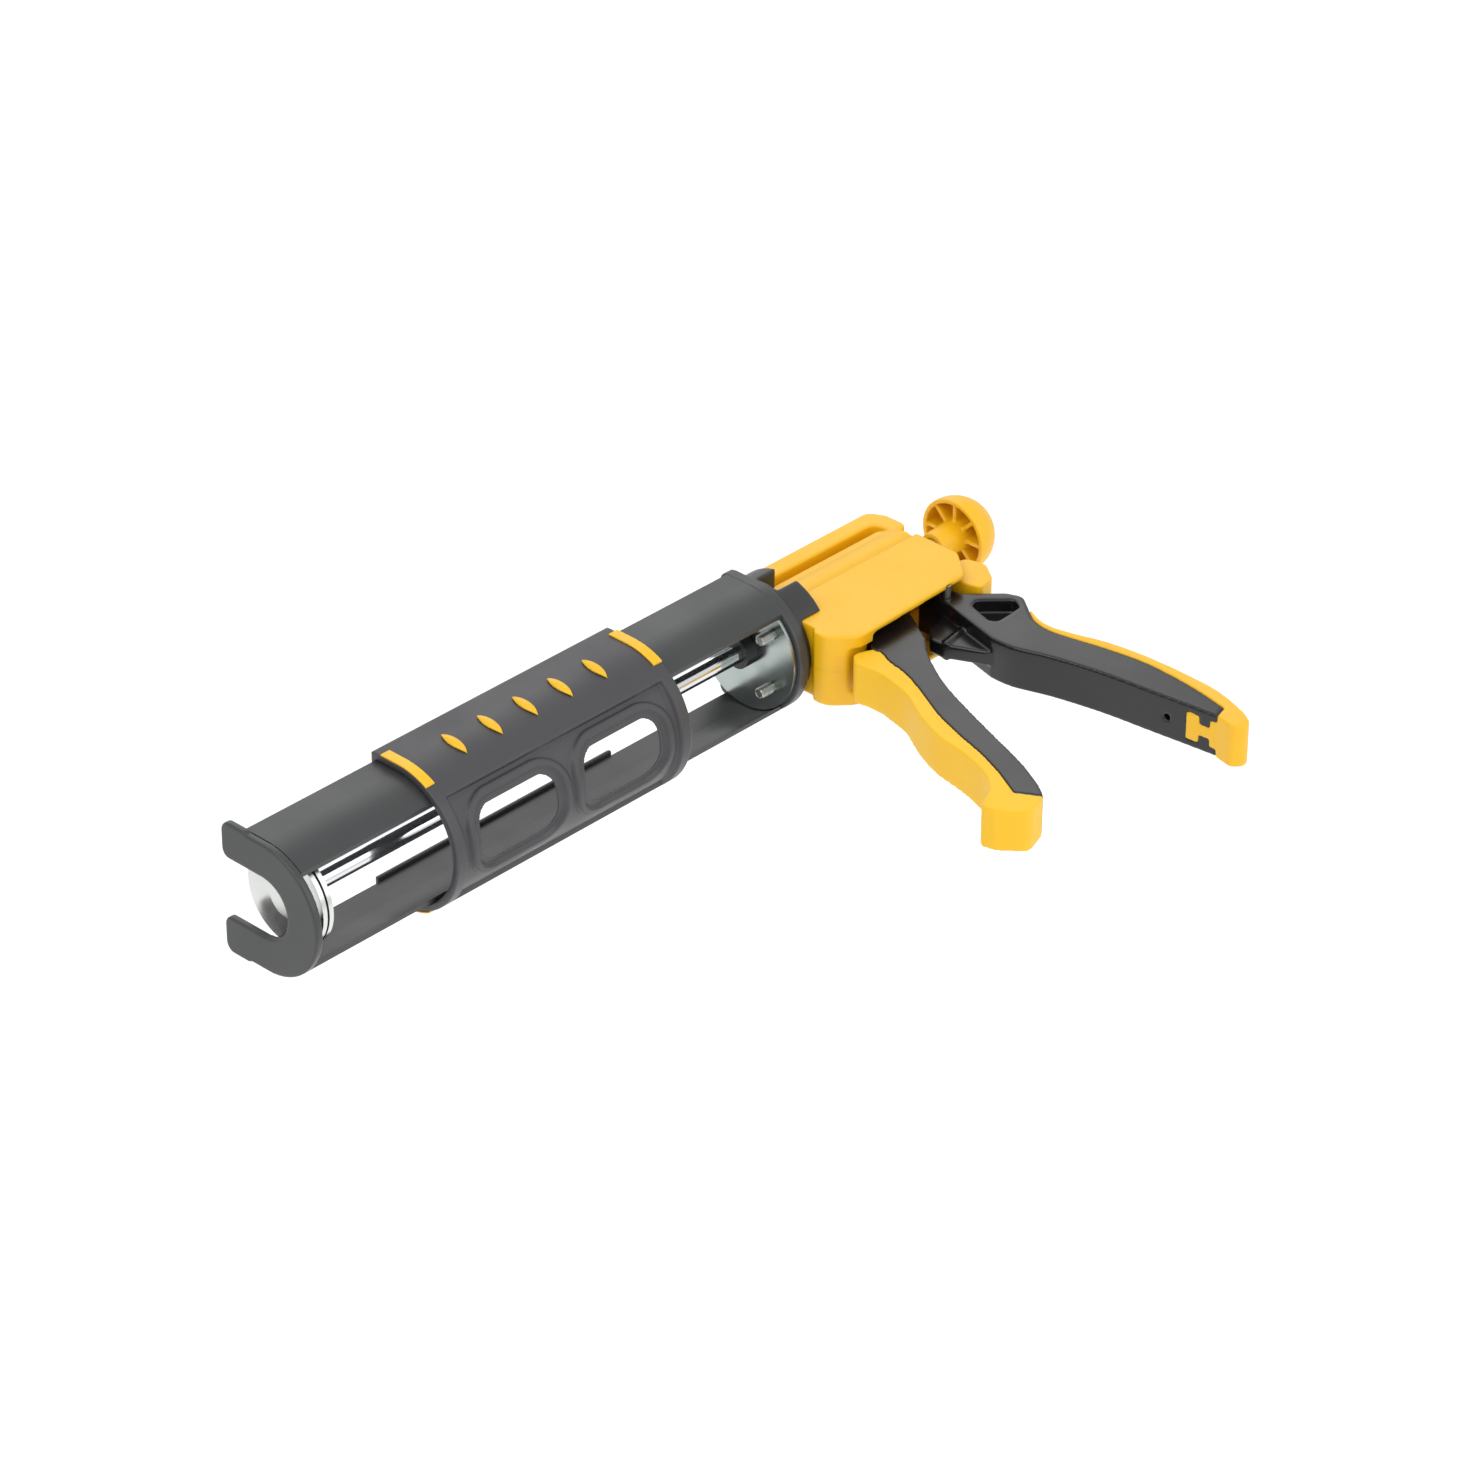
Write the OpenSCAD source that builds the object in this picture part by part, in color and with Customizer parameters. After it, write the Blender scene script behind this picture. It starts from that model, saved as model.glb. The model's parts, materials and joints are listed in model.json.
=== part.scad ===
// Caulking gun for coaxial cartridges, lying on its side.
// +X runs from the hook plate towards the knob, +Y is the loading side, +Z is the left side.
// The origin is on the rod's axis, on the inner face of the hook plate.

/* [Cradle] */
// Outer radius of the cradle strips
cradle_r = 30; // [25:0.5:36]
// Hook plate to backing plate, the room for the cartridge
cradle_len = 272; // [220:1:330]
// Thickness of the cradle strips
sheet = 1.5; // [1:0.1:2.5]
// Thickness of the hook plate
hook_t = 3.5; // [2:0.5:5]
// How far the straight sides of the strips reach past the axis
side_reach = 13.3; // [10:0.1:16]
// How far the strips reach round towards the handle
wrap_reach = 18.6; // [14:0.1:20]
// Half width of the slot for the nozzle
slot_r = 14; // [11:0.5:17]
// How far the lugs of the hook plate reach past the axis
lug_reach = 24.5; // [20:0.5:30]
// Thickness of the rear ring
ring_t = 5.4; // [4:0.2:7]

/* [Sleeve] */
// Length of the sliding sleeve
sleeve_len = 135; // [100:1:160]
// Where the sleeve starts behind the hook plate
sleeve_x = 70; // [62:1:75]
// Wall of the sleeve
sleeve_wall = 3.2; // [2.4:0.1:4]
// Number of bumps on each side
bumps = 5; // [3:1:6]
// Distance between bumps
bump_pitch = 20; // [16:0.5:22]
// Length of a sleeve window
window_len = 43; // [34:1:52]

/* [Rod and plunger] */
// Radius of the push rod
rod_r = 4.25; // [3.5:0.05:5.1]
// Radius of the plunger discs
plunger_r = 22; // [18:0.5:23]
// Thickness of a plunger disc
disc_t = 2.2; // [1.5:0.1:3]
// Front face of the plunger behind the hook plate
plunger_x = 7.6; // [7:0.2:12]
// Radius of the knob
knob_r = 17.5; // [14:0.5:21]

/* [Body] */
// Half width of the body cheeks
body_half = 17; // [16:0.5:20.5]
// Radius of the body round the rod
barrel_r = 15.5; // [14:0.5:18.6]
// Wall of the body halves
body_wall = 2.8; // [2.2:0.1:3.4]
// Depth of the body below the axis
body_drop = 47.4; // [47:0.2:50]
// Height of the top rail above the axis
rail_y = 27; // [23:0.5:30]
// Half width of the top rail
rail_half = 12.5; // [10:0.5:15]

/* [Trigger and handle] */
// Half thickness of the trigger
trigger_half = 9.8; // [8:0.2:11]
// Half thickness of the handle
handle_half = 10; // [9:0.5:11]
// Radius of the trigger pivot pin
pivot_r = 3; // [2.5:0.25:3.6]
// Distance from the trigger pivot to its roller
arm = 15; // [13:0.5:16]

/* [Hidden] */

$fn = 96;
eps = 0.01;
gap = 0.3;                 // between pieces that move on each other
fit = 0.05;                // radial clearance of a pin in its hole
bx = cradle_len;           // front face of the backing plate, from which the body is set out

// Cradle and its bearing
plate_t = 2;
hub_r = cradle_r - 6.8;
ring_x = bx + plate_t + gap;
flange_x = ring_x + ring_t + gap;
flange_t = 3.8;
collar_r = cradle_r - 2.5;
prong_len = 12;
body_x = flange_x + flange_t;
screw_circle = hub_r - 3.4;
screw_angle = 41;
plate_screw_r = 2.6;
plate_shank_r = 1.9;
bush_r = rod_r + 2;

// Sleeve
sleeve_in = cradle_r + gap;
sleeve_out = sleeve_in + sleeve_wall;
hook_y = side_reach + gap;
hook_wall = 2;
lip_t = 1.6;
lip_z = cradle_r - sheet - gap;
inlay_t = 0.8;
band_w = 5;

// Rod
rear_disc_x = plunger_x + disc_t + 1.1;
nut_x = rear_disc_x + disc_t;
nut_t = 4;
knob_x = bx + 133;         // flat front of the dome
neck_x = knob_x - 15;
dome_pole = knob_x + knob_r;

// Body
cavity_x = body_x + 16;
rear_x = bx + 100.7;
cavity_end = rear_x - 7;
cavity_half = body_half - body_wall;
cavity_r = barrel_r - body_wall;
web_half = 3.3;
pin_reach = body_half - 1.2;  // pins end in blind holes in the cheeks

// Trigger and drive
pivot = [bx + 50, -27];
roller_r = 2.5;
plate_hole = rod_r + 0.45;
drive_t = 2.4;
drive_drop = 15;
drive_rear = pivot[0] - roller_r - gap;
drive_front = drive_rear - 2 * drive_t;
plate_reach = cavity_r - 0.8;  // to the corners, clear of the barrel
plate_angle = 42.3;
plate_half = plate_reach * sin(plate_angle);
plate_top = plate_reach * cos(plate_angle);
coil_r = rod_r + 2.4;
coil_wire = 0.6;

// Brake and release
brake_t = 3;
brake_x = bx + 84;
brake_drop = 20;
lever_pin = [bx + 94, -32];
lever_half = cavity_half - 2;
lever_pin_r = 2;
handle_pin_at = [[bx + 78.5, -35.5], [bx + 78.5, -43.5]];
handle_pin_r = 2;
body_screw_at = [[bx + 19, -36], [bx + 21, 9], [rear_x - 3.5, 10]];
body_screw_r = 1.5;

// ---- outline helpers ----
function unit(v) = v / norm(v);
function flat(p) = [p[0], p[1]];
// Arc that rounds corner b between a and c, with the radius held in b[2]
function corner(a, b, c, n = 7) =
    let (u = unit(flat(a) - flat(b)), w = unit(flat(c) - flat(b)),
         half = acos(u * w) / 2, far = b[2] / sin(half), run = b[2] / tan(half),
         o = flat(b) + unit(u + w) * far,
         s = flat(b) + u * run - o, e = flat(b) + w * run - o,
         a0 = atan2(s[1], s[0]), d = atan2(e[1], e[0]) - a0,
         turn = d > 180 ? d - 360 : d < -180 ? d + 360 : d)
    [for (i = [0:n]) o + b[2] * [cos(a0 + turn * i / n), sin(a0 + turn * i / n)]];
// Outline whose points are [x, y] or [x, y, corner radius]
function rounded(p) = [for (i = [0:len(p) - 1])
    each len(p[i]) == 3
        ? corner(p[(i + len(p) - 1) % len(p)], p[i], p[(i + 1) % len(p)])
        : [p[i]]];
// Smooth curve through points
function curve(p, n = 4) = [for (i = [0:len(p) - 2]) for (k = [0:(i == len(p) - 2 ? n : n - 1)])
    let (a = p[max(i - 1, 0)], b = p[i], c = p[i + 1], d = p[min(i + 2, len(p) - 1)], t = k / n)
    0.5 * (2 * b + (c - a) * t + (2 * a - 5 * b + 4 * c - d) * t * t
           + (3 * b - a - 3 * c + d) * t * t * t)];
function behind(p) = [for (q = p) [for (i = [0:len(q) - 1]) i == 0 ? q[0] + bx : q[i]]];

// Extrudes a section drawn in Y and Z along X
module along_x(from, to) {
    translate([from, 0, 0]) rotate([90, 0, 90]) linear_extrude(to - from) children();
}
module rod_along_x(from, to, r) { translate([from, 0, 0]) rotate([0, 90, 0]) cylinder(to - from, r = r); }
module slab(half) { translate([0, 0, -half]) linear_extrude(2 * half) children(); }
module pin_hole(at, r) { translate([at[0], at[1], -50]) cylinder(100, r = r); }
// Round at the handle side, straight towards the loading side
module u_section(r, reach) {
    intersection() {
        circle(r);
        translate([-r - 1, -r - 1]) square([r + 1 + eps, 2 * r + 2]);
    }
    translate([0, -r]) square([reach, 2 * r]);
}
// A pin across the body, and the same shape as the blind hole that holds it
module blind_hole(at, r) { translate([at[0], at[1], -pin_reach]) cylinder(2 * pin_reach, r = r); }
module pin(at, r) { blind_hole(at, r); }
module both_sides() { children(); mirror([0, 0, 1]) children(); }

// ---- cradle ----
module hook_plate() {
    lug_z = cradle_r + 1;
    lug = rounded([[side_reach - 2, slot_r], [lug_reach, slot_r, 4], [lug_reach, lug_z, 4.5],
                   [side_reach - 2, lug_z, 3], [side_reach - 6, cradle_r - 1.5]]);
    color("#58585a") along_x(-hook_t, 0) difference() {
        union() {
            u_section(cradle_r, side_reach - 1);
            polygon(lug);
            mirror([0, 1]) polygon(lug);
        }
        translate([1.3, 0]) circle(slot_r);
        translate([1.3, -slot_r]) square([lug_reach, 2 * slot_r]);
    }
}
module strip() {
    along_x(0, ring_x) intersection() {
        difference() {
            u_section(cradle_r, side_reach);
            u_section(cradle_r - sheet, side_reach + 1);
        }
        translate([-wrap_reach, 0]) square([wrap_reach + side_reach, cradle_r]);
    }
}
module upper_strip() { color("#58585a") strip(); }
module lower_strip() { color("#58585a") mirror([0, 0, 1]) strip(); }
module rear_ring() {
    ear_r = 4;
    color("#4c4c4e") along_x(ring_x, ring_x + ring_t) difference() {
        union() {
            circle(cradle_r);
            u_section(cradle_r, side_reach);
            for (s = [-1, 1]) translate([side_reach, s * (cradle_r - ear_r)]) circle(ear_r);
        }
        circle(hub_r + fit);
    }
}

// ---- sleeve ----
module sleeve_section() {
    wrap = 2 * sleeve_out;
    difference() {
        u_section(sleeve_out, hook_y + hook_wall);
        u_section(sleeve_in, hook_y);
        translate([0, -lip_z + lip_t]) square([wrap, 2 * (lip_z - lip_t)]);
        translate([0, -lip_z]) square([hook_y - 2.4, 2 * lip_z]);
    }
}
module sleeve_window(x) {
    low = -8;
    high = 18;
    r = 9;
    tall = high - low;
    translate([x, 0, low]) rotate([90, 0, 0]) linear_extrude(2 * sleeve_out)
        polygon(rounded([[0, 0, r], [window_len, 0, r], [window_len, tall, r], [0, tall, r]]));
}
module sleeve() {
    frame = (sleeve_len - 2 * window_len) / 3;
    color("#4a4a4d") difference() {
        along_x(sleeve_x, sleeve_x + sleeve_len) sleeve_section();
        for (i = [0, 1]) sleeve_window(sleeve_x + frame + i * (window_len + frame));
    }
}
// Layer on the outside of the sleeve, cut to the outline drawn from above
module inlay(from, to) {
    intersection() {
        along_x(from, to) difference() {
            u_section(sleeve_out + inlay_t, 10);
            u_section(sleeve_out, 11);
        }
        linear_extrude(2 * sleeve_out) children();
    }
}
module bump(x) {
    half = 7.5;
    rise = 2.4;
    r = (half * half + rise * rise) / (2 * rise);
    inlay(x - rise, x + rise) translate([x, -4]) intersection() {
        translate([r - rise, 0]) circle(r);
        translate([rise - r, 0]) circle(r);
    }
}
module band(x) {
    inlay(x, x + band_w) translate([x - 1, -16]) square([band_w + 2, 26]);
}
module sleeve_inlays() {
    middle = sleeve_x + sleeve_len / 2;
    color("#fbcb45") both_sides() {
        for (i = [0:bumps - 1]) bump(middle + (i - (bumps - 1) / 2) * bump_pitch);
        band(sleeve_x);
        band(sleeve_x + sleeve_len - band_w);
    }
}

// ---- backing plate and collar ----
module at_plate_screws() {
    for (a = [screw_angle, 180 - screw_angle, 180 + screw_angle, -screw_angle])
        translate([0, screw_circle * cos(a), screw_circle * sin(a)]) children();
}
module backing_plate() {
    color("#b8c4c0") difference() {
        rod_along_x(bx, bx + plate_t, cradle_r - 2);
        rod_along_x(bx - 1, bx + plate_t + 1, bush_r);
        at_plate_screws() rod_along_x(bx - 1, bx + plate_t + 1, plate_shank_r);
    }
}
module plate_screws() {
    color("#c9c9c6") at_plate_screws() difference() {
        union() {
            rod_along_x(bx - 7.5, bx, plate_screw_r);
            rod_along_x(bx - eps, body_x, plate_shank_r);
        }
        rod_along_x(bx - 8, bx - 4.5, plate_screw_r - 1.1);
    }
}
module collar() {
    color("#2b2b2d") difference() {
        union() {
            rod_along_x(bx + plate_t, flange_x + eps, hub_r);
            rod_along_x(flange_x, body_x, collar_r);
            difference() {
                rod_along_x(body_x - eps, body_x + prong_len, collar_r);
                translate([body_x - 1, -collar_r - 1, -body_half])
                    cube([prong_len + 2, 2 * collar_r + 2, 2 * body_half]);
                translate([body_x, -6.6, -collar_r - 1]) cube([prong_len + 1, 11.6, 2 * collar_r + 2]);
                translate([body_x, 19, -collar_r - 1]) cube([prong_len + 1, collar_r, 2 * collar_r + 2]);
            }
        }
        rod_along_x(bx, body_x + 1, bush_r);
        at_plate_screws() rod_along_x(bx, body_x + 1, plate_shank_r);
    }
}
module rod_bush() {
    color("#2b2b2d") difference() {
        union() {
            rod_along_x(bx - 6, cavity_x, bush_r);
            rod_along_x(bx - 6, bx, bush_r + 0.8);
        }
        rod_along_x(bx - 7, cavity_x + 1, rod_r + fit);
    }
}

// ---- rod, plunger and knob ----
module push_rod() {
    tail_r = rod_r - 1.2;
    color("#d4d4d6") union() {
        rod_along_x(nut_x, neck_x + 6, rod_r);
        rod_along_x(plunger_x + 1.2, nut_x + eps, tail_r);
        rod_along_x(neck_x + 6 - eps, knob_x + 4, tail_r);
    }
}
module plunger_front() {
    color("#d9dcdb") difference() {
        rod_along_x(plunger_x, plunger_x + disc_t, plunger_r);
        translate([plunger_x - 60 + 0.8, 0, 0]) sphere(60, $fn = 128);
        rod_along_x(plunger_x + 1.2, plunger_x + disc_t + 1, rod_r - 1.2);
    }
}
module plunger_rear() {
    color("#d9dcdb") difference() {
        rod_along_x(rear_disc_x, rear_disc_x + disc_t, plunger_r);
        rod_along_x(rear_disc_x - 1, rear_disc_x + disc_t + 1, rod_r - 1.2);
    }
}
module plunger_spacer() {
    color("#3a3a3c") difference() {
        rod_along_x(plunger_x + disc_t, rear_disc_x, plunger_r - 2);
        rod_along_x(plunger_x + disc_t - 1, rear_disc_x + 1, rod_r - 1.2);
    }
}
module plunger_nut() {
    color("#9a9c9b") difference() {
        translate([nut_x, 0, 0]) rotate([0, 90, 0]) cylinder(nut_t, r = rod_r + 3.4, $fn = 6);
        rod_along_x(nut_x - 1, nut_x + nut_t + 1, rod_r);
    }
}
module knob() {
    ribs = 8;
    shell = 2;
    color("#f5b52e") difference() {
        union() {
            difference() {
                translate([knob_x, 0, 0]) sphere(knob_r);
                rod_along_x(knob_x - knob_r - 1, knob_x - 2, knob_r + 1);
                intersection() {
                    translate([knob_x, 0, 0]) sphere(knob_r - shell);
                    rod_along_x(knob_x - 3, knob_x + 6, knob_r);
                }
            }
            intersection() {
                union() {
                    for (i = [0:ribs / 2 - 1]) rotate([i * 360 / ribs, 0, 0])
                        translate([knob_x - 1, -knob_r, -0.9]) cube([8, 2 * knob_r, 1.8]);
                }
                translate([knob_x, 0, 0]) sphere(knob_r - 0.5);
            }
            translate([neck_x, 0, 0]) rotate([0, 90, 0])
                cylinder(knob_x + 6.5 - neck_x, r1 = rod_r + 2.2, r2 = rod_r + 3.6);
        }
        rod_along_x(neck_x - 1, neck_x + 6, rod_r);
        rod_along_x(neck_x + 5, knob_x + 4, rod_r - 1.2);
        rod_along_x(knob_x, dome_pole + 1, 1.6);
        rod_along_x(dome_pole - 3, dome_pole + 1, 3);
    }
}
module knob_screw() {
    color("#8f9190") union() {
        rod_along_x(knob_x + 4, dome_pole - 3 + eps, 1.6);
        rod_along_x(dome_pole - 3, dome_pole - 1, 3);
    }
}

// ---- body ----
// Side outline of the cheeks, whose nose passes below the collar
function cheek() = let (top = -collar_r - 3, low = top - 0.444 * (body_drop + top)) rounded([
    [body_x, 14, 2], [body_x, top + 2.2], [body_x - 2.5, top, 2],
    [body_x - 2.5, low, min(9, 1.6 * (top - low) - 3)],
    [body_x + 8, -body_drop, 8], [bx + 89, -44.3, 5], [rear_x, -30, 5], [rear_x, 8, 6],
    [rear_x - 8, 14, 4]]);
// Rail along the top, closed down to the cheeks behind
function rail() = rounded([
    [body_x + prong_len, 18], [rear_x - 2, 18, 3], [rear_x + 2, 5, 3], [rear_x + 8.5, 8, 3],
    [rear_x + 8.5, 19, 4], [rear_x + 4.5, rail_y, 5], [body_x + prong_len, rail_y]]);
module body_solid() {
    // barrel round the rod and cheeks below it
    rod_along_x(body_x + prong_len, rear_x, barrel_r);
    slab(body_half) intersection() {
        polygon(cheek());
        translate([bx, -60]) square([120, 60 - 6]);
    }
    slab(barrel_r - 2.5) intersection() {
        polygon(cheek());
        translate([bx, -8]) square([120, 20]);
    }
    slab(web_half) translate([body_x, 0]) square([rear_x - body_x, 20]);
    slab(rail_half) polygon(rail());
}
module body_half_shell() {
    open_x = cavity_x + 1;
    difference() {
        intersection() {
            body_solid();
            translate([0, -200, 0]) cube([600, 400, 60]);
        }
        // room for the mechanism, open below
        rod_along_x(cavity_x, cavity_end, cavity_r);
        slab(cavity_half) translate([open_x, -60]) square([cavity_end - open_x, 60]);
        slab(cavity_half) translate([cavity_end - 1, -60]) square([20, 60 - 17.5]);
        // bores for the rod, the bush and the collar's hub
        rod_along_x(body_x - 1, cavity_x + 1, bush_r);
        rod_along_x(cavity_end - 1, rear_x + 12, rod_r + gap);
        blind_hole(pivot, pivot_r);
        blind_hole(lever_pin, lever_pin_r);
        for (p = handle_pin_at) blind_hole(p, handle_pin_r);
        for (p = body_screw_at) translate([p[0], p[1], -1]) cylinder(9, r = body_screw_r);
        // clearance for the swinging trigger nose
        slab(trigger_half + 0.8) polygon(behind([[8.5, -44], [30, -44], [30, -60], [8.5, -60]]));
    }
}
module body_left() { color("#fbcb45") body_half_shell(); }
module body_right() {
    color("#fbcb45") difference() {
        mirror([0, 0, 1]) body_half_shell();
        for (p = body_screw_at) translate([p[0], p[1], -60]) cylinder(60, r = body_screw_r);
        for (p = body_screw_at) translate([p[0], p[1], -60]) cylinder(60 - 6, r = 3);
    }
}
module body_screws() {
    color("#8f9190") for (p = body_screw_at) translate([p[0], p[1], 0]) {
        translate([0, 0, -7]) cylinder(15, r = body_screw_r);
        translate([0, 0, -8.5]) cylinder(2.5, r = 2.9);
    }
}

// ---- handle ----
backstrap_out = behind(curve([[94.8, -77.3], [91.8, -83.8], [90.6, -91.8], [93.3, -103.8], [97.6, -117.8],
                              [100.3, -137.8], [100.6, -160.8], [99.2, -177.8], [93.8, -194.8]]));
backstrap_in = behind(curve([[93.9, -77.6], [89.9, -83.8], [88.3, -92.8], [90.3, -104.8], [93.7, -119.8],
                             [96.5, -140.8], [95.1, -165.8], [91.3, -186.8]]));
function reversed(p) = [for (i = [len(p) - 1:-1:0]) p[i]];
handle_front = behind(curve([[66.3, -79.8], [66.8, -91.8], [72.3, -108.8], [77.3, -131.8], [80.3, -155.8],
                             [82.8, -175.8], [84.3, -188.8]]));
module handle_outline() {
    polygon(concat(
        behind([[74, -31.5], [80.5, -31.5], [84, -36.5], [85, -46]]),
        rounded(behind([[86.5, -47.5], [98.6, -59.3, 4], [101.8, -66.8, 5], [93.9, -77.6]])),
        backstrap_in,
        behind([[84.3, -188.8]]),
        reversed(handle_front),
        behind([[74, -49]])));
}
module handle_core() {
    web = 3.5;
    pocket = rounded(behind([[80.8, -56.3, 1.5], [85.3, -54.8, 1.5], [96.8, -66.3, 2],
                             [93.8, -71.6, 2], [78.8, -72.6, 2], [76.8, -69.3, 1.5]]));
    fin = behind([[76.3, -45.8], [62.3, -48.3], [55.6, -54.8], [55.8, -61.8], [64.3, -79.3], [68.3, -81.8]]);
    color("#3c3c3e") difference() {
        union() {
            slab(handle_half) handle_outline();
            slab(web) polygon(fin);
            slab(web + 1.2) polygon(behind([[76.3, -57.8], [56.8, -61.3], [56.8, -63.8], [76.3, -60.3]]));
        }
        both_sides() translate([0, 0, web]) linear_extrude(40) polygon(pocket);
        for (p = handle_pin_at) pin_hole(p, handle_pin_r);
        lanyard_hole();
        lock_inlay();
    }
}
module handle_backstrap() {
    color("#fbcb45") {
        slab(handle_half) polygon(rounded(concat(
            backstrap_out,
            behind([[88.3, -203.8, 4], [82.3, -197.8, 3], [84.3, -188.8]]),
            reversed(backstrap_in))));
        lock_inlay();
    }
}
// Blind hole for a wrist cord, from the front
module lanyard_hole() {
    translate([bx + 60, -164, 0]) rotate([0, 90, 0]) cylinder(32, r = 1.5);
}
// T-shaped inlay in the front of the handle, its foot on the end cap
module lock_inlay() {
    depth = 1.6;
    front = behind(curve([[80.3, -155.8], [82.8, -175.8], [84.3, -188.6]]));
    translate([bx + 70, 0, 0]) intersection() {
        translate([-bx - 70, 0, 0]) slab(8) polygon(concat(front, reversed([for (q = front) q + [depth, 0]])));
        union() {
            translate([0, -179.5, -6.5]) cube([30, 5.5, 13]);
            translate([0, -188.5, -2.6]) cube([30, 10, 5.2]);
            translate([0, -188.5, -6.5]) cube([30, 3.6, 13]);
        }
    }
}

module handle_pins() { color("#8f9190") for (p = handle_pin_at) pin(p, handle_pin_r); }

// ---- trigger ----
trigger_split = behind(curve([[24.5, -49.5], [25.6, -54.4], [22.6, -62], [20.3, -73], [14.7, -86.2],
                              [6.2, -103.4], [0.3, -119.8], [-4.7, -137], [-10.5, -152],
                              [-17.8, -166.5]]));
trigger_rear = behind(curve([[47, -60], [37.7, -70.3], [26.5, -88.5], [18.7, -106.6], [10, -130],
                             [1.7, -153], [-6, -169], [-11.5, -177]]));
trigger_front = behind(curve([[11.5, -52], [12.8, -64], [10.8, -75], [8, -85], [0.4, -98.3],
                              [-6.2, -114], [-9.8, -132.7], [-15, -148], [-22, -157.5]]));
module trigger_core() {
    arm_half = 4.5;
    reach = arm + roller_r + 1.5;
    color("#4c4c4e") difference() {
        union() {
            slab(trigger_half) polygon(concat(
                behind([[36, -38], [60, -38]]), trigger_rear, reversed(trigger_split)));
            slab(trigger_half) polygon(rounded(behind(
                [[40.5, -26, 3], [45, -19, 3], [56, -19, 4], [60, -27, 4], [62, -38], [34, -40]])));
            slab(arm_half) translate([pivot[0] - 1, pivot[1]]) square([6, reach]);
        }
        pin_hole(pivot, pivot_r + fit);
        // channel that passes over the handle's fin
        slab(5) polygon(behind([[28, -86], [33, -60], [40, -40], [90, -40], [90, -86]]));
        pin_hole([pivot[0], pivot[1] + arm], roller_r + fit);
        translate([pivot[0] - 10, pivot[1] + arm - 3.2, -2.5]) cube([10, 12, 5]);
    }
}
module trigger_grip() {
    color("#fbcb45") slab(trigger_half) polygon(rounded(concat(
        behind([[16.5, -46.5, 3]]),
        trigger_front,
        behind([[-34.5, -163, 3], [-33, -170, 3], [-24, -181, 4], [-11.5, -177]]),
        reversed(trigger_split))));
}
module trigger_roller() {
    color("#9a9c9b") translate([pivot[0], pivot[1] + arm, -4.5]) cylinder(9, r = roller_r);
}
module trigger_pin() { color("#8f9190") pin(pivot, pivot_r); }

// ---- drive and brake ----
module gripping_plate(x, t, top, drop) {
    difference() {
        translate([x, -drop, -plate_half]) cube([t, drop + top, 2 * plate_half]);
        rod_along_x(x - 1, x + t + 1, plate_hole);
    }
}
module drive_plates() {
    color("#77797a") {
        gripping_plate(drive_front, drive_t - 0.1, plate_top, drive_drop);
        gripping_plate(drive_front + drive_t, drive_t, plate_top, drive_drop);
    }
}
module coil(from, to, turns) {
    // closed rings at the pitch of the real coil, joined by a thin spine
    pitch = (to - from - 2 * coil_wire) / turns;
    for (i = [0:turns]) translate([from + coil_wire + i * pitch, 0, 0]) rotate([0, 90, 0])
        rotate_extrude($fn = 32) translate([coil_r, 0]) circle(coil_wire, $fn = 16);
    translate([from + coil_wire, coil_r, 0]) rotate([0, 90, 0])
        cylinder(to - from - 2 * coil_wire, r = coil_wire * 0.7, $fn = 16);
}
module drive_spring() { color("#8f9190") coil(cavity_x + gap, drive_front - 0.1, 4); }
module brake_plate() { color("#77797a") gripping_plate(brake_x, brake_t, plate_top, brake_drop); }
module brake_spring() { color("#8f9190") coil(brake_x - 11, brake_x - 0.2, 4); }
module release_lever() {
    tip_half = 4;
    color("#f5b52e") difference() {
        union() {
            slab(lever_half) polygon(rounded(behind(
                [[88, -38, 2], [90, -29, 3], [97, -27, 3], [106, -31, 4], [108, -40, 5],
                 [101, -50, 5], [91.5, -51.5, 3]])));
            slab(tip_half) polygon(behind([[92, -35], [80.5, -27], [80.5, -17], [83.6, -17],
                                           [83.6, -22.5], [93, -24.5], [97, -30]]));
        }
        pin_hole(lever_pin, lever_pin_r + fit);
    }
}
module release_pin() { color("#8f9190") pin(lever_pin, lever_pin_r); }

hook_plate();
upper_strip();
lower_strip();
rear_ring();
sleeve();
sleeve_inlays();
backing_plate();
plate_screws();
collar();
rod_bush();
push_rod();
plunger_front();
plunger_rear();
plunger_spacer();
plunger_nut();
knob();
knob_screw();
body_left();
body_right();
body_screws();
handle_core();
handle_backstrap();
handle_pins();
trigger_core();
trigger_grip();
trigger_roller();
trigger_pin();
drive_plates();
drive_spring();
brake_plate();
brake_spring();
release_lever();
release_pin();
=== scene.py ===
# Caulking gun for coaxial cartridges: finishes, moulded detail, studio light and camera.
import bpy
import bmesh
import json
import math
from mathutils import Matrix, Vector


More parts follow.
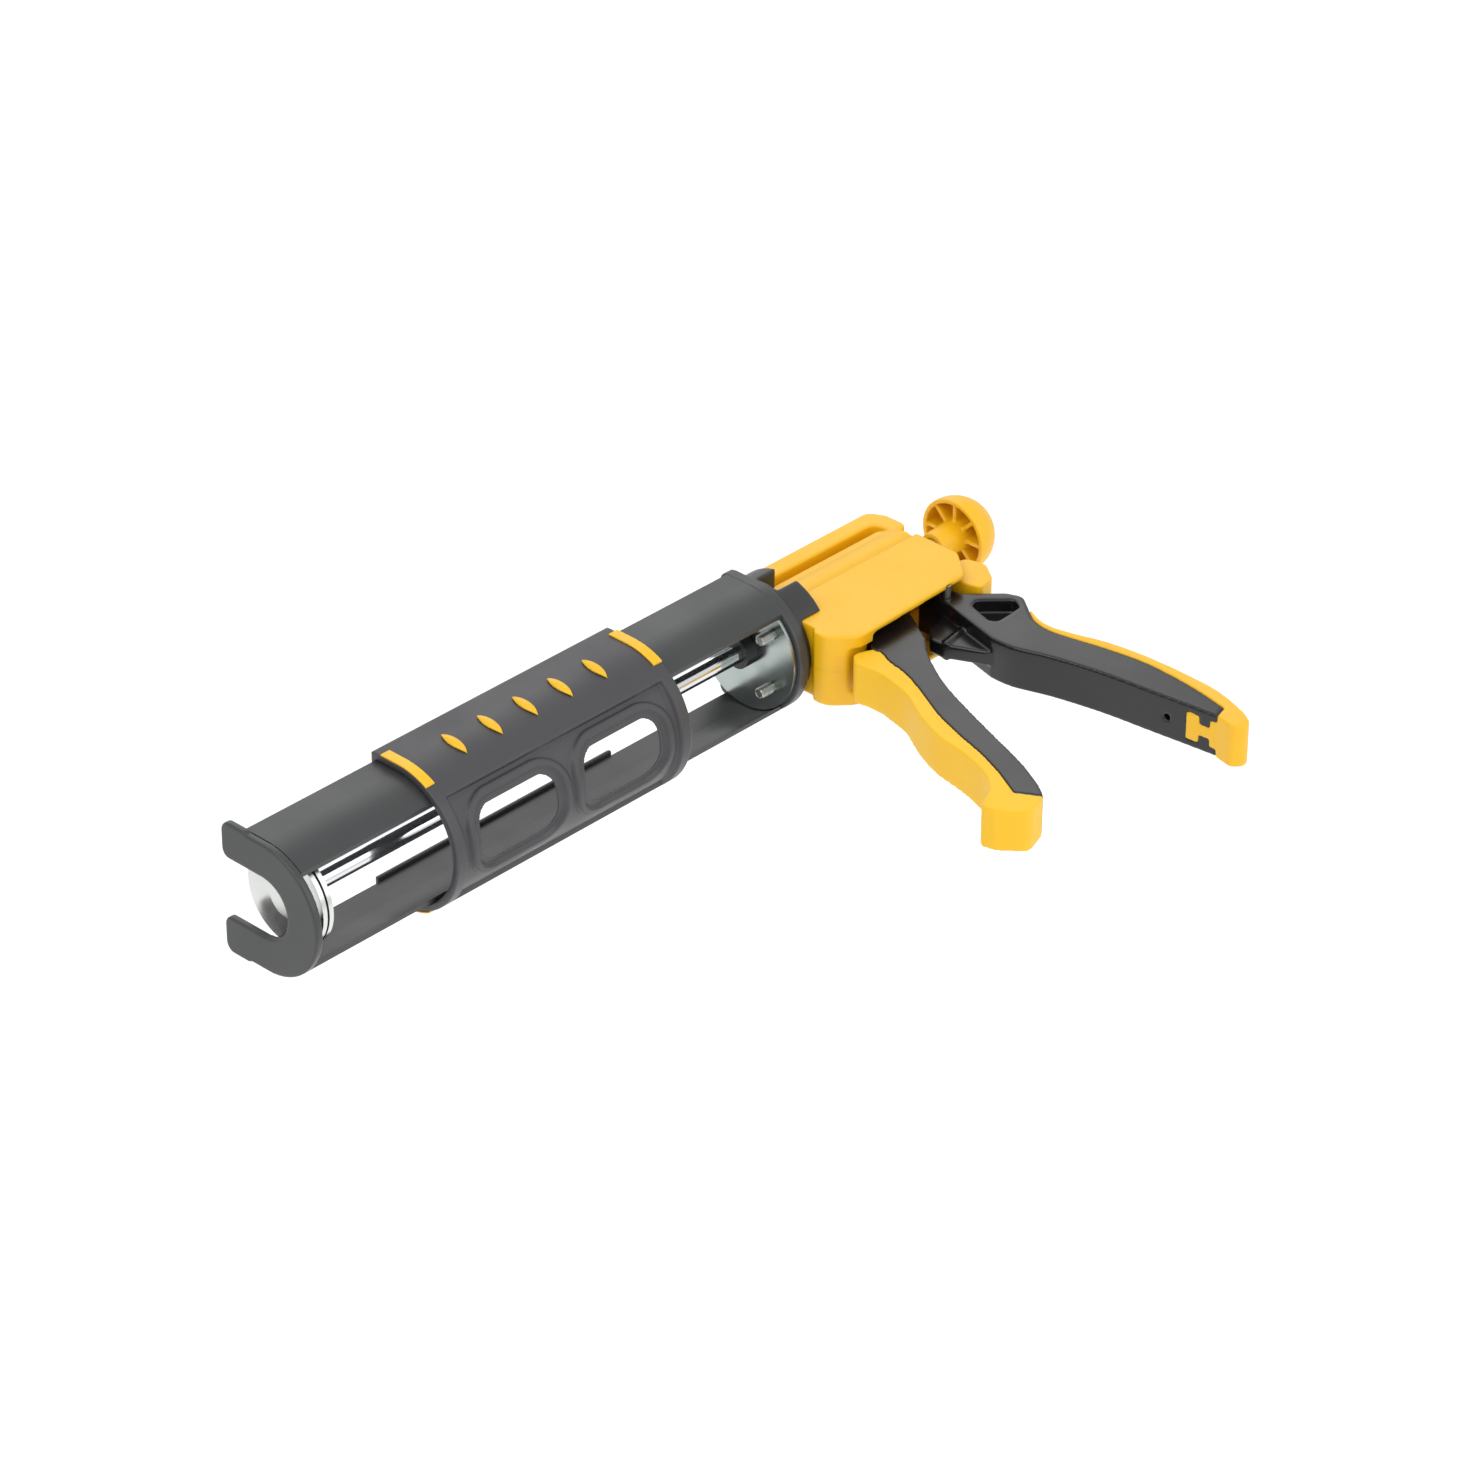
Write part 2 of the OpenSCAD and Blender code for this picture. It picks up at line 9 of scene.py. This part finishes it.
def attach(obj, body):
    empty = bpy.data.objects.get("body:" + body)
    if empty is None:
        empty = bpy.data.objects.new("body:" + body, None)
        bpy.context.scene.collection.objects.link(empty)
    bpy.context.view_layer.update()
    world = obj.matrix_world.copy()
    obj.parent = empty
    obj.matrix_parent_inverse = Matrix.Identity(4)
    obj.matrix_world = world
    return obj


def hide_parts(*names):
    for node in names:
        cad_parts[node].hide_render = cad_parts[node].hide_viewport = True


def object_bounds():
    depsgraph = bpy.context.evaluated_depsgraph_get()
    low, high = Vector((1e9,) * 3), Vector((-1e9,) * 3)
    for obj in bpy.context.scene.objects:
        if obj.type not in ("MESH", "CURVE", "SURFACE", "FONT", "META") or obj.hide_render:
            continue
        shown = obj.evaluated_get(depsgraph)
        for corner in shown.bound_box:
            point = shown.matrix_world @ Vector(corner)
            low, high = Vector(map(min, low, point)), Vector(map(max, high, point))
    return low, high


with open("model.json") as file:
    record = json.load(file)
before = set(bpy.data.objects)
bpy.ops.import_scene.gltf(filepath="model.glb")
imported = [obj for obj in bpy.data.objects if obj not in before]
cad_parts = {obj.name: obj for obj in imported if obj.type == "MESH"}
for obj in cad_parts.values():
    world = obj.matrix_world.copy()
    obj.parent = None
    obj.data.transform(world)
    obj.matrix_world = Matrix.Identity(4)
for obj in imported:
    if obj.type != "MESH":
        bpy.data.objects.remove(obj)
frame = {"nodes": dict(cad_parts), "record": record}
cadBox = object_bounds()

mm = 0.001
scene = bpy.context.scene
nodes = frame["nodes"]


def linear(hexText):  # sRGB hex to linear colour
    out = []
    for i in (1, 3, 5):
        c = int(hexText[i:i + 2], 16) / 255
        out.append(c / 12.92 if c <= 0.04045 else ((c + 0.055) / 1.055) ** 2.4)
    return (*out, 1.0)


def addNode(tree, kind, settings=None, links=None):  # a node with its settings and what feeds it
    node = tree.nodes.new(kind)
    for key, value in (settings or {}).items():
        if key in node.inputs:
            node.inputs[key].default_value = value
        else:
            setattr(node, key, value)
    for key, source in (links or {}).items():
        tree.links.new(source, node.inputs[key])
    return node


def startMaterial(name, look):
    # look: base and shade (hex), patch, grain and height (mm), rough (low, high), strength, metal, shader
    material = bpy.data.materials.new(name)
    material.use_nodes = True
    tree = material.node_tree
    shader = tree.nodes["Principled BSDF"]
    shader.inputs["Metallic"].default_value = look.get("metal", 0.0)
    for key, value in look.get("shader", {}).items():
        shader.inputs[key].default_value = value
    place = addNode(tree, "ShaderNodeTexCoord").outputs["Object"]
    patches = addNode(tree, "ShaderNodeTexNoise", {"Scale": 1 / (look["patch"] * mm), "Detail": 4.0},
                      {"Vector": place})
    grain = addNode(tree, "ShaderNodeTexNoise", {"Scale": 1 / (look["grain"] * mm), "Detail": 2.0},
                    {"Vector": place})
    tint = addNode(tree, "ShaderNodeMix", {"data_type": "RGBA"}, {"Factor": patches.outputs["Fac"]})
    for socket in tint.inputs:
        if socket.type == "RGBA":
            side = "base" if socket.identifier.startswith("A") else "shade"
            socket.default_value = linear(look[side])
    colour = [socket for socket in tint.outputs if socket.type == "RGBA"][0]
    smoothest, roughest = look["rough"]
    gloss = addNode(tree, "ShaderNodeMapRange",
                    {"From Min": 0.3, "From Max": 0.7, "To Min": smoothest, "To Max": roughest},
                    {"Value": patches.outputs["Fac"]})
    bump = addNode(tree, "ShaderNodeBump",
                   {"Strength": look.get("strength", 0.6), "Distance": look["height"] * mm},
                   {"Height": grain.outputs["Fac"]})
    tree.links.new(colour, shader.inputs["Base Color"])
    tree.links.new(gloss.outputs["Result"], shader.inputs["Roughness"])
    tree.links.new(bump.outputs["Normal"], shader.inputs["Normal"])
    return {"material": material, "tree": tree, "place": place, "grain": grain, "bump": bump}


def powderCoat():  # polyester powder on steel: satin, with a faint orange peel
    return startMaterial("powderCoatedSteel", {
        "base": "#363738", "shade": "#2e2f30", "patch": 30, "rough": (0.34, 0.42), "grain": 1.6,
        "height": 0.05, "strength": 0.35})["material"]


def sparkErodedAbs():  # ABS moulded in an eroded tool: dull, with an even fine grain, drawn coarser than real
    return startMaterial("sparkErodedAbs", {
        "base": "#3c3b3e", "shade": "#343336", "patch": 22, "rough": (0.38, 0.48), "grain": 0.6,
        "height": 0.05, "strength": 0.4})["material"]


def glassFilledNylon():  # moulded nylon: a waxy gloss that breaks up along flow lines
    return startMaterial("glassFilledNylon", {
        "base": "#151416", "shade": "#0f0e10", "patch": 26, "rough": (0.19, 0.28), "grain": 1.2,
        "height": 0.04, "strength": 0.35})["material"]


def blackAcetal():  # moulded acetal: near black, smooth, soft shine
    return startMaterial("blackAcetal", {
        "base": "#2c2c2e", "shade": "#222224", "patch": 18, "rough": (0.34, 0.44), "grain": 0.8,
        "height": 0.03, "strength": 0.3})["material"]


def yellowPolypropylene():  # moulded polypropylene: milky, a little light goes in
    return startMaterial("yellowPolypropylene", {
        "base": "#e4b009", "shade": "#dea806", "patch": 28, "rough": (0.36, 0.46), "grain": 1.4,
        "height": 0.04, "strength": 0.3,
        "shader": {"Subsurface Weight": 0.12, "Subsurface Scale": 0.004}})["material"]


def softTpe():  # overmoulded elastomer: matte with a soft bloom
    return startMaterial("softTpeOvermould", {
        "base": "#e6b50a", "shade": "#e1ae07", "patch": 20, "rough": (0.50, 0.60), "grain": 0.9,
        "height": 0.04, "strength": 0.35,
        "shader": {"Subsurface Weight": 0.12, "Subsurface Scale": 0.004, "Sheen Weight": 0.03}})["material"]


def zincPlated():  # bright zinc with a blue passivate: clouded crystals in the gloss
    return startMaterial("zincBluePassivate", {
        "base": "#b4bbb8", "shade": "#9ba6a3", "patch": 13, "rough": (0.17, 0.26), "grain": 3,
        "height": 0.03, "strength": 0.25, "metal": 1.0})["material"]


def turnedSteel():  # pressed disc faced on a lathe: rings round the rod's axis, drawn coarser than real
    ringSpacing = 8.8  # mm
    made = startMaterial("turnedSteel", {
        "base": "#dcdddb", "shade": "#c6c8c6", "patch": 14, "rough": (0.18, 0.30), "grain": 2,
        "height": 0.02, "strength": 0.3, "metal": 1.0})
    tree = made["tree"]
    rings = addNode(tree, "ShaderNodeTexWave",
                    {"wave_type": "RINGS", "rings_direction": "X", "Scale": math.pi / 10 / (ringSpacing * mm),
                     "Distortion": 1.0},
                    {"Vector": made["place"]})
    tree.links.new(rings.outputs["Fac"], made["bump"].inputs["Height"])
    return made["material"]


def chromePlated():  # hard chrome on a drawn bar: a mirror with faint lines along its length
    made = startMaterial("chromePlatedBar", {
        "base": "#dfe1e3", "shade": "#cfd2d5", "patch": 40, "rough": (0.07, 0.15), "grain": 1,
        "height": 0.01, "strength": 0.2, "metal": 1.0})
    tree = made["tree"]
    stretch = addNode(tree, "ShaderNodeMapping", {"Scale": (0.02, 1.0, 1.0)}, {"Vector": made["place"]})
    tree.links.new(stretch.outputs["Vector"], made["grain"].inputs["Vector"])
    return made["material"]


def zincScrew():  # barrel plated screw: grey, a bit worn
    return startMaterial("barrelPlatedScrew", {
        "base": "#b9bab4", "shade": "#8f918c", "patch": 2.5, "rough": (0.24, 0.40), "grain": 0.7,
        "height": 0.02, "strength": 0.3, "metal": 1.0})["material"]


def hardenedSteel():  # oil hardened plate: dark straw to grey
    return startMaterial("oilHardenedPlate", {
        "base": "#8a8c8e", "shade": "#6c6a66", "patch": 7, "rough": (0.32, 0.46), "grain": 0.8,
        "height": 0.02, "strength": 0.3, "metal": 1.0})["material"]


finishes = {
    "cradle_paint": powderCoat(),
    "grey_plastic": sparkErodedAbs(),
    "grey_gloss": glassFilledNylon(),
    "black_plastic": blackAcetal(),
    "yellow_plastic": yellowPolypropylene(),
    "yellow_rubber": softTpe(),
    "zinc_steel": zincPlated(),
    "bright_steel": turnedSteel(),
    "rod_chrome": chromePlated(),
    "screw_steel": zincScrew(),
    "plain_steel": hardenedSteel(),
    "spring_steel": hardenedSteel(),
}
slotOf = {part["node"]: part["material_slot"] for part in frame["record"]["subparts"]}
bodyOf = {node: body for body, names in frame["record"]["behaviour"]["bodies"].items() for node in names}
print("materials made:", len(finishes))


def dressNode(name):  # a carried-over node keeps its shape and gets its finish
    obj = nodes[name]
    if not obj.material_slots:
        obj.data.materials.append(finishes[slotOf[name]])
    for place in obj.material_slots:
        place.link = "OBJECT"
        place.material = finishes[slotOf[name]]


for name in nodes:
    dressNode(name)


def newPiece(name, mesh, node):
    obj = bpy.data.objects.new(name, mesh)
    scene.collection.objects.link(obj)
    mesh.materials.clear()
    mesh.materials.append(finishes[slotOf[node]])
    for face in mesh.polygons:
        face.use_smooth = True
    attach(obj, bodyOf[node])
    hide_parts(node)
    return obj


def meshFrom(made, name):  # writes a bmesh out as a mesh
    mesh = bpy.data.meshes.new(name)
    made.to_mesh(mesh)
    made.free()
    return mesh


def moulded(names, look):  # gives sharp solids the rounded edges of a moulding
    # voxel is in mm, and more rounds of smoothing give a larger edge radius
    made = bmesh.new()
    for name in names:
        made.from_mesh(nodes[name].data)
    work = bpy.data.objects.new("work", meshFrom(made, "joined"))
    scene.collection.objects.link(work)
    skin = work.modifiers.new("skin", "REMESH")
    skin.mode = "VOXEL"
    skin.voxel_size = look["voxel"] * mm
    smooth = work.modifiers.new("round", "SMOOTH")
    smooth.factor = 0.5
    smooth.iterations = look["rounds"]
    bpy.context.view_layer.update()
    ready = work.evaluated_get(bpy.context.evaluated_depsgraph_get())
    out = bpy.data.meshes.new_from_object(ready)
    bpy.data.objects.remove(work)
    return out


def reshape(mesh, move):  # moves each vertex, worked out in mm
    for vert in mesh.vertices:
        vert.co = Vector(move(*(c / mm for c in vert.co))) * mm
    return mesh


def ramp(low, high, value):  # 0 below low, 1 above high, smooth between them
    t = min(1, max(0, (value - low) / (high - low)))
    return t * t * (3 - 2 * t)


def halfOf(mesh, side):  # the part of a closed mesh on one side of the parting plane
    made = bmesh.new()
    made.from_mesh(mesh)
    everything = list(made.verts) + list(made.edges) + list(made.faces)
    bmesh.ops.bisect_plane(made, geom=everything, dist=1e-7, plane_co=(0, 0, 0), plane_no=(0, 0, side),
                           clear_inner=True)
    rim = [edge for edge in made.edges if edge.is_boundary]
    bmesh.ops.triangle_fill(made, edges=rim, use_beauty=True, normal=(0, 0, -side))
    bmesh.ops.recalc_face_normals(made, faces=made.faces)
    return meshFrom(made, "half")


bodyHalves = {"voxel": 0.7, "rounds": 7}


def makeBody():  # both halves are rounded as one, so that they meet on the parting plane
    both = moulded(["body_left", "body_right"], bodyHalves)
    newPiece("bodyLeft", halfOf(both, 1), "body_left")
    newPiece("bodyRight", halfOf(both, -1), "body_right")


handleCore = {"voxel": 0.6, "rounds": 9}
handleBackstrap = {"voxel": 0.6, "rounds": 4, "proud": 0.3}
triggerCore = {"voxel": 0.7, "rounds": 5}
triggerGrip = {"voxel": 0.7, "rounds": 6}
releaseLever = {"voxel": 0.6, "rounds": 6}


def swollen(mesh, by):  # stands a piece a little proud, in mm, of the one it is moulded into
    normals = [vert.normal.copy() for vert in mesh.vertices]
    for vert, normal in zip(mesh.vertices, normals):
        vert.co += normal * by * mm
    return mesh


def makeGrips():
    newPiece("handleCore", moulded(["handle_core"], handleCore), "handle_core")
    strap = moulded(["handle_backstrap"], handleBackstrap)
    newPiece("handleBackstrap", swollen(strap, handleBackstrap["proud"]), "handle_backstrap")
    newPiece("triggerCore", moulded(["trigger_core"], triggerCore), "trigger_core")
    newPiece("triggerGrip", moulded(["trigger_grip"], triggerGrip), "trigger_grip")
    newPiece("releaseLever", moulded(["release_lever"], releaseLever), "release_lever")


knobDome = {"voxel": 0.45, "rounds": 4}
collarRing = {"voxel": 0.7, "rounds": 3}


def makeRear():
    newPiece("knobDome", moulded(["knob"], knobDome), "knob")
    newPiece("collarRing", moulded(["collar"], collarRing), "collar")


sleeveShell = {  # in mm; across, crease and frame are measured along the wall
    "voxel": 0.6, "rounds": 3,
    "inside": 30.3, "wall": 3.2,
    "panel": (75.5, 199.5), "panelStep": 1.2, "depth": 2.2,
    "crease": 28.6, "creaseStep": 0.8,
    "windows": ((86.3, 129.3), (145.7, 188.7)), "across": (-8.1, 19.0), "corner": 9,
    "frame": (2.6, 6.2), "frameSteps": (1.3, 1.5), "frameRise": 0.85,
}


def sleeveDepth(x, s):  # how far the panel is sunk; s runs round the wall from the middle of the handle side
    shell = sleeveShell
    first, last = shell["panel"]
    low, high = shell["across"]
    inner, outer = shell["frame"]
    innerStep, outerStep = shell["frameSteps"]
    step = shell["panelStep"]
    depth = shell["depth"] * min(ramp(first, first + step, x), ramp(-last, step - last, -x))
    for start, end in shell["windows"]:
        dx = max(abs(x - (start + end) / 2) - (end - start) / 2 + shell["corner"], 0)
        ds = max(abs(s - (low + high) / 2) - (high - low) / 2 + shell["corner"], 0)
        away = math.hypot(dx, ds) - shell["corner"]
        raised = ramp(inner, inner + innerStep, away) * (1 - ramp(outer, outer + outerStep, away))
        depth -= shell["depth"] * shell["frameRise"] * raised
    return max(depth, 0) * (1 - ramp(shell["crease"], shell["crease"] + shell["creaseStep"], abs(s)))


def sinkPanel(x, y, z):  # the inner face stays and the outer one sinks
    if y > 0:
        return x, y, z
    inside, wall = sleeveShell["inside"], sleeveShell["wall"]
    r = math.hypot(y, z)
    share = min(1, max(0, (r - inside) / wall))
    k = (r - share * sleeveDepth(x, (inside + wall) * math.atan2(z, -y))) / r
    return x, y * k, z * k


sleeveInlays = {  # in mm; reach is a share of each bump's half sizes
    "voxel": 0.25, "rounds": 5,
    "middle": 137.5, "pitch": 20, "count": 5, "halfWidth": 2.4, "halfLength": 7.5, "centre": -4,
    "reach": 1.2, "dome": 1.1,
}


def domeBump(x, y, z):
    bump = sleeveInlays
    nearest = round((x - bump["middle"]) / bump["pitch"]) * bump["pitch"] + bump["middle"]
    u, v = (x - nearest) / bump["halfWidth"], (y - bump["centre"]) / bump["halfLength"]
    outsideRow = abs(x - bump["middle"]) > bump["pitch"] * bump["count"] / 2
    if outsideRow or abs(u) > bump["reach"] or abs(v) > bump["reach"]:
        return x, y, z
    lift = bump["dome"] * max(0, 1 - u * u - v * v)
    return x, y, z + math.copysign(lift, z)


def makeSleeve():
    shell = moulded(["sleeve"], sleeveShell)
    newPiece("sleeveShell", reshape(shell, sinkPanel), "sleeve")
    inlays = moulded(["sleeve_inlays"], sleeveInlays)
    newPiece("sleeveInlays", reshape(inlays, domeBump), "sleeve_inlays")


setScrews = {  # in mm, and sides is a count
    "tip": 264.5, "seat": 272.0, "radius": 2.6, "sides": 40,
    "chamfer": 0.6, "dishDeep": 0.25, "dishFloor": 1.7, "dishRim": 1.95,
    "firstRidge": 0.4, "pitch": 0.8, "ridge": 0.35, "crest": (0.25, 0.4), "ridgeEnd": 0.65,
    "pocketRim": 0.2, "pocket": 1.35, "pocketDeep": 2.6,
    "at": ((14.9, 13.0), (-14.9, 13.0), (-14.9, -13.0), (14.9, -13.0)),
}


def turned(profile, sides):  # turns a profile of (x, radius) in mm round the X axis, closed at both ends
    made = bmesh.new()
    rows = []
    for x, r in profile:
        turns = [2 * math.pi * k / sides for k in range(sides)]
        rows.append([made.verts.new((x * mm, r * mm * math.cos(a), r * mm * math.sin(a))) for a in turns])
    for one, other in zip(rows, rows[1:]):
        for k in range(sides):
            after = (k + 1) % sides
            made.faces.new((one[k], other[k], other[after], one[after]))
    made.faces.new(rows[0][::-1])
    made.faces.new(rows[-1])
    bmesh.ops.recalc_face_normals(made, faces=made.faces)
    return made


def screwProfile():
    look = setScrews
    root = look["radius"] - look["ridge"]
    profile = [(look["tip"] + look["dishDeep"], look["dishFloor"]), (look["tip"], look["dishRim"]),
               (look["tip"], look["radius"] - look["chamfer"])]
    x = look["tip"] + look["firstRidge"]
    while x + look["pitch"] < look["seat"]:
        profile.append((x, root))
        profile += [(x + along, look["radius"]) for along in look["crest"]]
        profile.append((x + look["ridgeEnd"], root))
        x += look["pitch"]
    profile.append((look["seat"], root))
    return profile


def makeScrews():
    # Closed rings stand for the thread. The pocket starts from one facet of the rim and not from the
    # whole end, so it closes to a sliver without width, and the hex socket of a real screw is missing.
    everyScrew = bmesh.new()
    for y, z in setScrews["at"]:
        made = turned(screwProfile(), setScrews["sides"])
        facet = min(made.faces, key=lambda face: face.calc_center_median().x)
        bmesh.ops.inset_individual(made, faces=[facet], thickness=setScrews["pocketRim"] * mm)
        for vert in facet.verts:
            angle = math.atan2(vert.co.z, vert.co.y)
            toFlat = math.cos((angle + math.pi / 6) % (math.pi / 3) - math.pi / 6)
            radius = setScrews["pocket"] * mm / toFlat
            vert.co.y = radius * math.cos(angle)
            vert.co.z = radius * math.sin(angle)
        floor = bmesh.ops.extrude_discrete_faces(made, faces=[facet])["faces"][0]
        bmesh.ops.translate(made, verts=floor.verts, vec=(setScrews["pocketDeep"] * mm, 0, 0))
        bmesh.ops.translate(made, verts=made.verts, vec=(0, y * mm, z * mm))
        everyScrew.from_mesh(meshFrom(made, "screw"))
    obj = newPiece("setScrews", meshFrom(everyScrew, "screws"), "plate_screws")
    for face in obj.data.polygons:
        face.use_smooth = False


hookPlate = {"voxel": 0.45, "rounds": 12}
rearRing = {"voxel": 0.5, "rounds": 4}


def makeCradle():  # pressed steel with rolled edges
    newPiece("hookPlate", moulded(["hook_plate"], hookPlate), "hook_plate")
    newPiece("rearRing", moulded(["rear_ring"], rearRing), "rear_ring")


makeBody()
makeGrips()
makeRear()
makeSleeve()
makeScrews()
makeCradle()
print("mouldings made")

studio = {  # in metres and watts; each light is its place, size and power, and sky is a strength
    "floor": 6.0, "drop": 0.6, "aim": (0.2, -0.03, 0), "sky": 0.92,
    "key": ((-1.1, -0.2, 1.9), 1.8, 20),
    "fill": ((0.6, -2.0, 1.0), 2.0, 17),
    "back": ((1.3, 1.5, 1.4), 1.6, 7),
}


def paperSweep():  # matt white background paper
    return startMaterial("paperSweep", {
        "base": "#ffffff", "shade": "#fbfbfb", "patch": 300, "rough": (0.85, 0.9), "grain": 2,
        "height": 0.01})["material"]


def makeStudio():
    half = studio["floor"]
    height = cadBox[0][2] - studio["drop"]
    mesh = bpy.data.meshes.new("floor")
    corners = ((-half, -half), (half, -half), (half, half), (-half, half))
    mesh.from_pydata([(x, y, height) for x, y in corners], [], [(0, 1, 2, 3)])
    floor = bpy.data.objects.new("floor", mesh)
    scene.collection.objects.link(floor)
    mesh.materials.append(paperSweep())
    for name in ("key", "fill", "back"):
        place, size, power = studio[name]
        data = bpy.data.lights.new(name, "AREA")
        data.energy = power
        data.size = size
        lamp = bpy.data.objects.new(name, data)
        lamp.location = place
        lamp.rotation_euler = (Vector(studio["aim"]) - Vector(place)).to_track_quat("-Z", "Y").to_euler()
        scene.collection.objects.link(lamp)
    world = bpy.data.worlds.new("studio")
    scene.world = world
    world.use_nodes = True
    sky = world.node_tree.nodes["Background"]
    sky.inputs["Color"].default_value = (1, 1, 1, 1)
    sky.inputs["Strength"].default_value = studio["sky"]
    scene.view_settings.view_transform = "Standard"


camera = {  # lens and sensor in mm, places in metres, roll in degrees
    "lens": 144.53, "sensor": 36, "farthest": 50,
    "place": (-1.2840, -1.4700, 1.2971), "target": (0.2186, -0.0453, 0.0), "roll": 0.247,
}


def makeCamera():
    data = bpy.data.cameras.new("camera")
    data.lens = camera["lens"]
    data.sensor_width = camera["sensor"]
    data.clip_end = camera["farthest"]
    obj = bpy.data.objects.new("camera", data)
    scene.collection.objects.link(obj)
    place = Vector(camera["place"])
    turn = (Vector(camera["target"]) - place).to_track_quat("-Z", "Y").to_matrix().to_4x4()
    roll = Matrix.Rotation(math.radians(camera["roll"]), 4, "Z")
    obj.matrix_world = Matrix.Translation(place) @ turn @ roll
    scene.camera = obj


makeStudio()
makeCamera()
print("studio ready")
